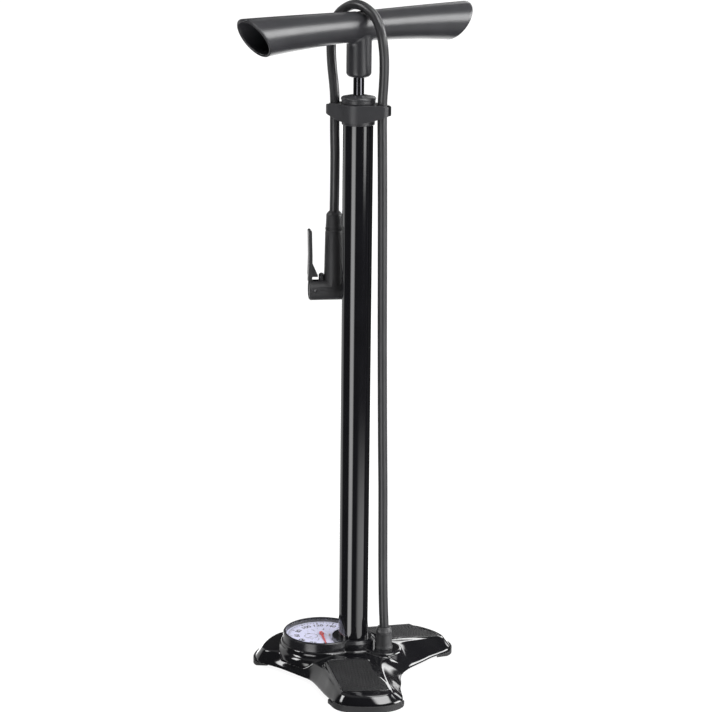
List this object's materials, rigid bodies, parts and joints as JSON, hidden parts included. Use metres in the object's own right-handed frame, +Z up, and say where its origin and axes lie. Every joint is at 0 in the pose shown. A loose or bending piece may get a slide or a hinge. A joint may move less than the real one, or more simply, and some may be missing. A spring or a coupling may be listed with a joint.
{
  "type": "floor bike pump",
  "caption": "Tall floor pump with a tripod base, built-in round pressure gauge, T-handle with hollow ends, long stored hose and lever-lock head.",
  "frame": {"origin": "on the barrel's axis at floor level, under the middle of the tripod base", "axes": "+Z up along the barrel, +Y towards the hose port, -Y towards the gauge leg, +X to the right-hand foot pad"},
  "size_m": [0.2876, 0.198, 0.7232],
  "materials": {
    "gloss_base": "high gloss black",
    "step_pad": "matte, fine raised grip texture",
    "foot_rubber": "matte",
    "cover_plastic": "moulded",
    "steel": "turned and ground",
    "bezel_black": "satin gloss black",
    "lens_clear": "clear, moulded",
    "dial_face": "printed plate, pale lavender white",
    "gauge_case": "moulded",
    "brass": "machined",
    "needle_red": "painted red",
    "barrel_black": "gloss black enamel",
    "satin_plastic": "satin moulded dark grey",
    "bush_plastic": "low-friction moulded",
    "seal_rubber": "oiled",
    "hose_rubber": "satin extruded",
    "boot_rubber": "matte moulded",
    "head_plastic": "matte moulded black",
    "rod_black": "black chrome, polished",
    "handle_plastic": "satin moulded dark grey",
    "alloy": "machined"
  },
  "bodies": {
    "root": {"base_casting": "gloss_base", "step_pad_right": "step_pad", "step_pad_left": "step_pad", "foot_right": "foot_rubber", "foot_left": "foot_rubber", "foot_gauge_side": "foot_rubber", "bottom_cover": "cover_plastic", "cover_screws": "steel", "gauge_bezel": "bezel_black", "gauge_lens": "lens_clear", "gauge_dial": "dial_face", "gauge_case": "gauge_case", "gauge_socket": "brass", "bourdon_tube": "brass", "movement_plate": "brass", "movement_posts": "steel", "needle_stop_pin": "brass", "air_pipe": "brass", "valve_block": "alloy", "barrel_seal_ring": "seal_rubber", "check_valve_spring": "steel", "check_valve_plug": "brass", "barrel": "barrel_black", "barrel_cap": "satin_plastic", "hose_clip_collar": "satin_plastic", "rod_bush": "bush_plastic", "rod_wiper": "seal_rubber", "hose_barb": "brass", "hose_boot": "boot_rubber", "hose": "hose_rubber", "head_tail": "brass", "head_nut": "head_plastic", "head_body": "head_plastic", "head_grommet": "seal_rubber", "head_front_cap": "head_plastic", "lever_pin": "steel"},
    "gauge_pointer": {"needle": "needle_red", "pinion_spindle": "steel"},
    "gauge_sector": {"sector_gear": "brass"},
    "check_valve": {"check_valve_poppet": "seal_rubber"},
    "plunger": {"piston": "bush_plastic", "piston_seal": "seal_rubber"},
    "handle_rod": {"rod": "rod_black", "handle": "handle_plastic", "handle_insert": "steel", "handle_bolt": "steel", "top_bumper": "seal_rubber", "rod_circlip": "steel"},
    "thumb_lever": {"lever": "head_plastic"},
    "seal_pusher": {"head_plunger": "bush_plastic"}
  },
  "joints": [
    {"name": "stroke", "type": "slide", "parent": "root", "child": "plunger", "axis": [0, 0, 1], "range_m": [0, 0.515], "deforming": ["hose"]},
    {"name": "handle_turn", "type": "hinge", "parent": "plunger", "child": "handle_rod", "pos_m": [0, 0, 0.055], "axis": [0, 0, 1], "range_deg": [-30, 35]},
    {"name": "gauge_needle", "type": "hinge", "parent": "root", "child": "gauge_pointer", "pos_m": [0, -0.0365, 0.03], "axis": [0, 0, -1], "range_deg": [0, 240]},
    {"name": "gauge_sector", "type": "hinge", "parent": "root", "child": "gauge_sector", "pos_m": [0, -0.0545, 0.0283], "axis": [0, 0, -1], "range_deg": [-48, 0]},
    {"name": "check_valve_lift", "type": "slide", "parent": "root", "child": "check_valve", "axis": [0, 0, -1], "range_m": [0, 0.003], "stiffness_N_per_m": 300, "springref_m": -0.002, "deforming": ["check_valve_spring"]},
    {"name": "thumb_lever", "type": "hinge", "parent": "root", "child": "thumb_lever", "pos_m": [-0.00188, -0.0481, 0.419], "axis": [0.8829, 0.4695, 0], "range_deg": [0, 90]},
    {"name": "seal_pusher", "type": "slide", "parent": "root", "child": "seal_pusher", "axis": [-0.4695, 0.8829, 0], "range_m": [0, 0.0025]}
  ],
  "couplings": [
    {"joint": "gauge_needle", "follows": "gauge_sector", "ratio": -5},
    {"joint": "seal_pusher", "follows": "thumb_lever", "m_per_rad": 0.00159}
  ]
}
